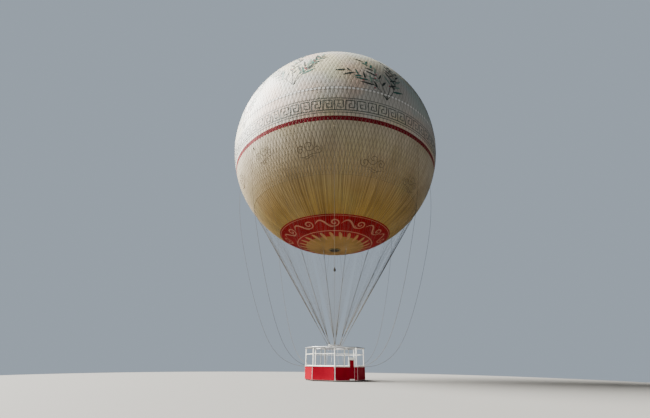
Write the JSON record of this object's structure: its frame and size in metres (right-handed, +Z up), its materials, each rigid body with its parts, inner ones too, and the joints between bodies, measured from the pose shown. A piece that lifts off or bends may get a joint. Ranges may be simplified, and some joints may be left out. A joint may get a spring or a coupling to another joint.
{
  "type": "tethered helium balloon",
  "caption": "Round gas envelope in a rope net, with rope legs to a load ring and a ring-shaped passenger gondola for a captive flight on a tether.",
  "frame": {"origin": "centre of the round envelope, where the air carries the balloon", "axes": "+Z up along the axis from gondola to crown valve, -Y towards the front corner of the gondola, +X to the right seen from the front"},
  "size_m": [21.977, 21.977, 33.7342],
  "materials": {
    "cream_cloth": "coated polyester cloth, cream, sewn in gores, low sheen",
    "red_cloth": "coated polyester cloth printed dark red",
    "gold_cloth": "coated polyester cloth printed ochre gold",
    "dark_cloth": "black coated cloth laced over the port",
    "pale_rope": "laid polyester rope, off-white, matt",
    "dark_rope": "dark braided cord and a dark bag weight, matt",
    "white_paint": "white powder-coated steel tube, slightly worn",
    "red_paint": "signal red painted sheet, smooth",
    "galvanised_steel": "hot-dip galvanised steel with a dull spangle",
    "bare_aluminium": "mill-finish aluminium, tread plate on the deck",
    "black_rubber": "moulded black rubber, dusty"
  },
  "bodies": {
    "balloon": {"envelope_upper": "cream_cloth", "envelope_red_band": "red_cloth", "envelope_lower": "cream_cloth", "envelope_red_disc": "red_cloth", "envelope_gold_centre": "gold_cloth", "crown_flange": "bare_aluminium", "valve_neck": "bare_aluminium", "port_flange": "bare_aluminium", "port_cover": "dark_cloth", "control_line_upper": "dark_rope", "control_line_weight": "dark_rope", "control_line_lower": "dark_rope", "rope_leg_1": "pale_rope", "rope_leg_2": "pale_rope", "rope_leg_3": "pale_rope", "rope_leg_4": "pale_rope", "rope_leg_5": "pale_rope", "rope_leg_6": "pale_rope", "rope_leg_7": "pale_rope", "rope_leg_8": "pale_rope", "load_ring": "galvanised_steel", "landing_ring": "black_rubber", "floor_frame": "white_paint", "deck_plate": "bare_aluminium", "outer_frame": "white_paint", "skirt_panel_1": "red_paint", "skirt_panel_2": "red_paint", "skirt_panel_3": "red_paint", "skirt_panel_4": "red_paint", "skirt_panel_5": "red_paint", "skirt_panel_6": "red_paint", "skirt_panel_7": "red_paint", "skirt_panel_gate_left": "red_paint", "skirt_panel_gate_right": "red_paint", "inner_frame": "white_paint", "inner_wall": "red_paint", "top_frame": "galvanised_steel", "mooring_line_1": "pale_rope", "mooring_line_2": "pale_rope", "mooring_line_3": "pale_rope", "mooring_line_4": "pale_rope", "mooring_line_5": "pale_rope", "mooring_line_6": "pale_rope", "mooring_line_7": "pale_rope", "mooring_line_8": "pale_rope"},
    "valve": {"valve_lid": "white_paint"},
    "gimbal": {"gimbal_block": "galvanised_steel"},
    "tether_head": {"tether_socket": "galvanised_steel"},
    "gate_leaf": {"gate": "red_paint"}
  },
  "joints": [
    {"name": "gate_hinge", "type": "hinge", "parent": "balloon", "child": "gate_leaf", "pos_m": [1.53995, -1.81018, -21.68], "axis": [0, 0, -1], "range_deg": [0, 95]},
    {"name": "valve_lift", "type": "slide", "parent": "balloon", "child": "valve", "axis": [0, 0, 1], "range_m": [0, 0.08], "stiffness_N_per_m": 400, "springref_m": -0.02},
    {"name": "gimbal_side", "type": "hinge", "parent": "balloon", "child": "gimbal", "pos_m": [0, 0, -20.03], "axis": [1, 0, 0], "range_deg": [-20, 20]},
    {"name": "gimbal_fore", "type": "hinge", "parent": "gimbal", "child": "tether_head", "pos_m": [0, 0, -20.03], "axis": [0, 1, 0], "range_deg": [-20, 20]}
  ]
}
